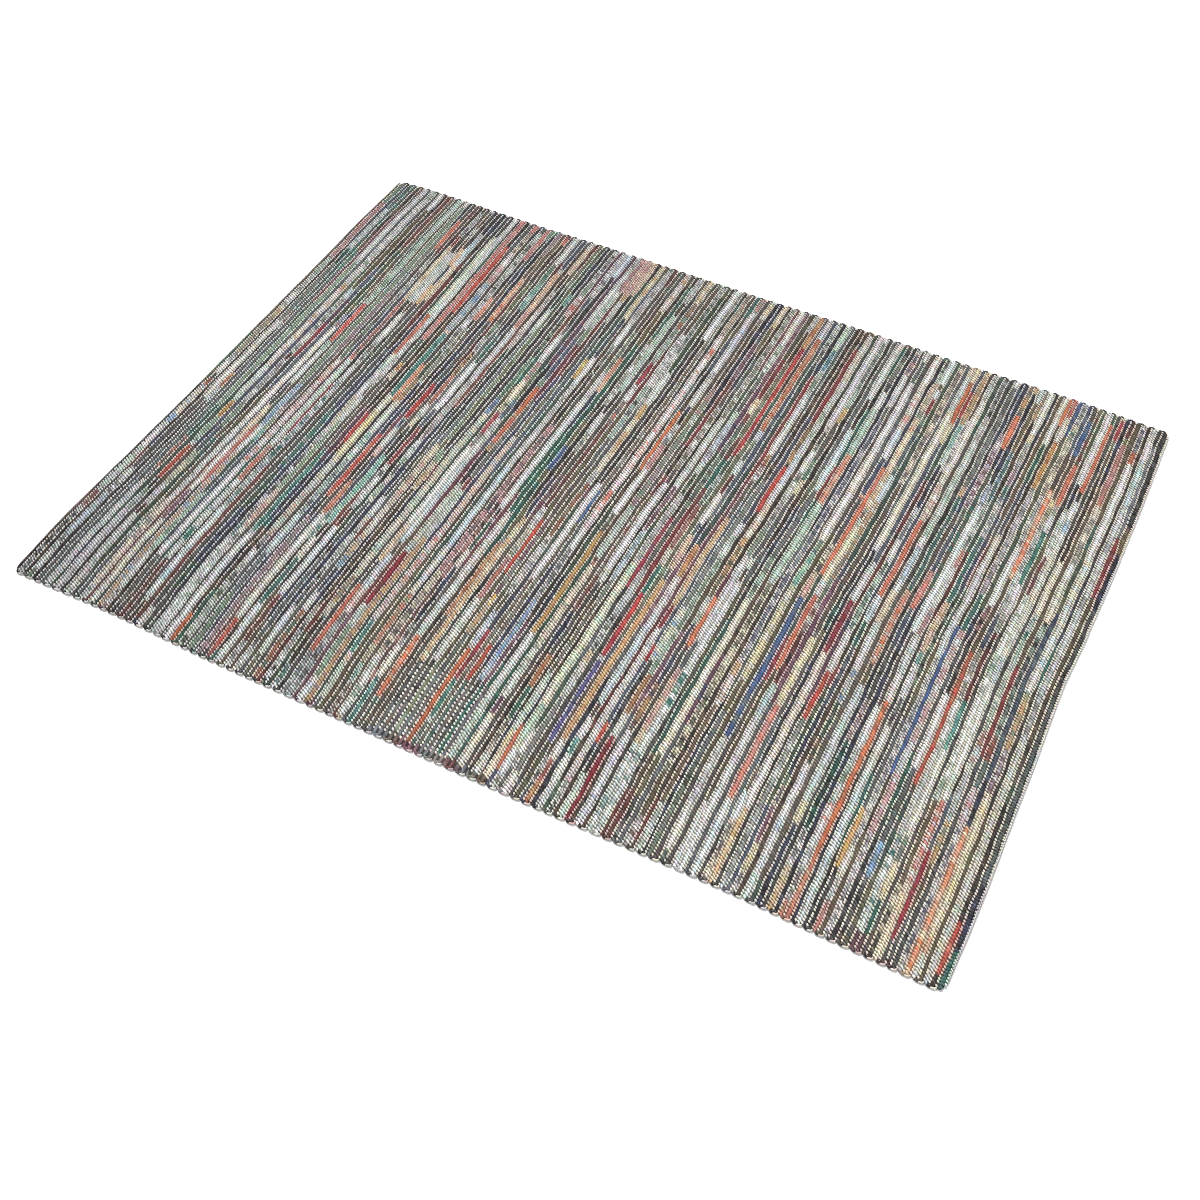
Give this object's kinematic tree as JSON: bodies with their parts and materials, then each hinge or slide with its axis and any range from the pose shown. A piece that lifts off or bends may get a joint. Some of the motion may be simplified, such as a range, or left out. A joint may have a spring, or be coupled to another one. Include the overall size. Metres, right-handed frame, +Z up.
{
  "type": "hemp rug",
  "caption": "Flat-woven rectangular rug of thin yarn and fat rag rows across its short side, with looped selvedges and straight ends, lying flat.",
  "frame": {"origin": "middle of the rug's outline, on the floor under it", "axes": "+X along the warp, the long side; +Y along the rag rows, the short side; +Z up from the floor"},
  "size_m": [1.6286, 1.2112, 0.0084],
  "materials": {
    "rag_weave": "matte woven rags of many colours with cream yarn between them"
  },
  "bodies": {
    "root": {"rug_cloth": "rag_weave"}
  },
  "joints": []
}
